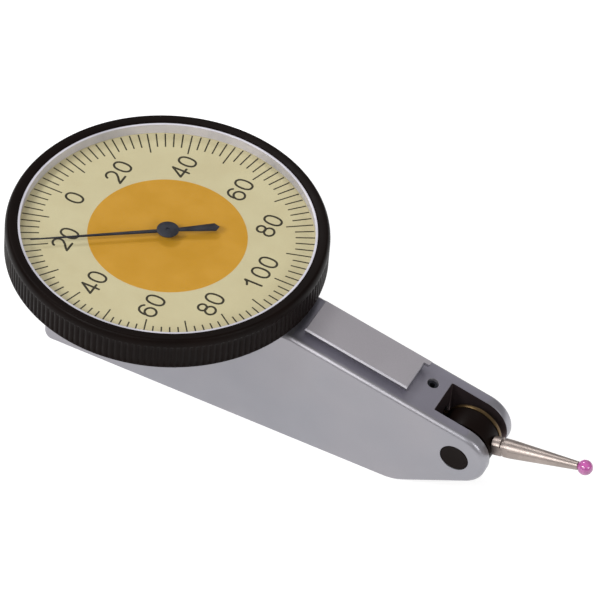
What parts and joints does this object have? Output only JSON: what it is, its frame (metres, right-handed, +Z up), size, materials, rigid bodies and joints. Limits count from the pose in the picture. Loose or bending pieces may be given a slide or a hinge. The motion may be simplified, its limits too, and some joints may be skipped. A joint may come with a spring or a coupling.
{
  "type": "dial test indicator",
  "caption": "Lever-type dial test indicator: a slim metal body carries a round dial in a turning bezel, a dovetail rail, and a swivelling stylus with a ball tip.",
  "frame": {"origin": "on the flat underside, straight below the middle of the dial", "axes": "+X from the dial towards the stylus, +Z up out of the dial face, +Y across the narrow body"},
  "size_m": [0.0796, 0.0404, 0.0239],
  "materials": {
    "satin_steel": "satin chromed steel, fine grain, rounded bright edges",
    "screw_steel": "turned steel",
    "stylus_steel": "ground steel with a warm tone",
    "blued_steel": "dark blued steel",
    "black_metal": "black anodised, brown cast, semi-gloss",
    "bright_metal": "bright satin ring",
    "printed_dial": "matt printed dial, cream with an orange disc and dark figures",
    "crystal": "clear, polished",
    "jewel": "polished ruby",
    "brass": "brushed brass",
    "spring_steel": "tempered spring steel"
  },
  "bodies": {
    "case": {"body": "satin_steel", "underside_cover": "satin_steel", "cover_screw_rear": "screw_steel", "cover_screw_front": "screw_steel", "lock_screw": "blued_steel", "pivot_plug_near": "black_metal", "pivot_plug_far": "black_metal", "pivot_jewel_near": "jewel", "pivot_jewel_far": "jewel", "head_plate": "satin_steel", "head_screw_rear": "screw_steel", "head_screw_front": "screw_steel", "bezel_spring": "spring_steel", "side_plate_near": "brass", "side_plate_far": "brass", "pillar_rear": "brass", "pillar_front": "brass", "spacer_rear": "brass", "spacer_front": "brass", "movement_screw_rear": "screw_steel", "movement_screw_front": "screw_steel", "cock": "brass", "cock_screw": "screw_steel", "spindle_jewel_lower": "jewel", "spindle_jewel_upper": "jewel", "crown_jewel_near": "jewel", "crown_jewel_far": "jewel", "sector_jewel_near": "jewel", "sector_jewel_far": "jewel", "hairspring": "spring_steel", "hairspring_stud": "brass"},
    "bezel": {"bezel_ring": "black_metal", "dial_plate": "printed_dial", "dial_ring": "bright_metal", "crystal": "crystal"},
    "pointer": {"pointer": "blued_steel", "pointer_cap": "blued_steel", "spindle": "screw_steel"},
    "crown": {"crown_wheel": "brass", "crown_arbor": "screw_steel", "collet": "brass"},
    "sector": {"sector_lever": "brass", "sector_arbor": "screw_steel"},
    "lever": {"lever": "brass", "lever_arbor": "screw_steel", "drive_pin": "screw_steel", "friction_washer": "spring_steel", "clamp_collar": "blued_steel"},
    "stylus": {"swivel_hub": "black_metal", "stylus_shank": "stylus_steel", "ball": "jewel"}
  },
  "joints": [
    {"name": "bezel_turn", "type": "hinge", "parent": "case", "child": "bezel", "pos_m": [0, 0, 0.02], "axis": [0, 0, 1], "continuous": true},
    {"name": "pointer_turn", "type": "hinge", "parent": "case", "child": "pointer", "pos_m": [0, 0, 0.02], "axis": [0, 0, -1], "range_deg": [-396, 396], "stiffness_Nm_per_rad": 0.000001},
    {"name": "crown_turn", "type": "hinge", "parent": "case", "child": "crown", "pos_m": [0, 0, 0.00856], "axis": [0, -1, 0], "range_deg": [-55, 55]},
    {"name": "sector_swing", "type": "hinge", "parent": "case", "child": "sector", "pos_m": [0.01275, 0, 0.00856], "axis": [0, -1, 0], "range_deg": [-3.5, 3.5]},
    {"name": "lever_swing", "type": "hinge", "parent": "case", "child": "lever", "pos_m": [0.04276, 0, 0.00856], "axis": [0, -1, 0], "range_deg": [-0.9, 0.9]},
    {"name": "stylus_swivel", "type": "hinge", "parent": "lever", "child": "stylus", "pos_m": [0.04276, 0, 0.00856], "axis": [0, -1, 0], "range_deg": [-112, 100]}
  ],
  "couplings": [
    {"joint": "crown_turn", "follows": "pointer_turn", "ratio": 0.125},
    {"joint": "sector_swing", "follows": "pointer_turn", "ratio": -0.0078125},
    {"joint": "lever_swing", "follows": "pointer_turn", "ratio": 0.0019894}
  ]
}
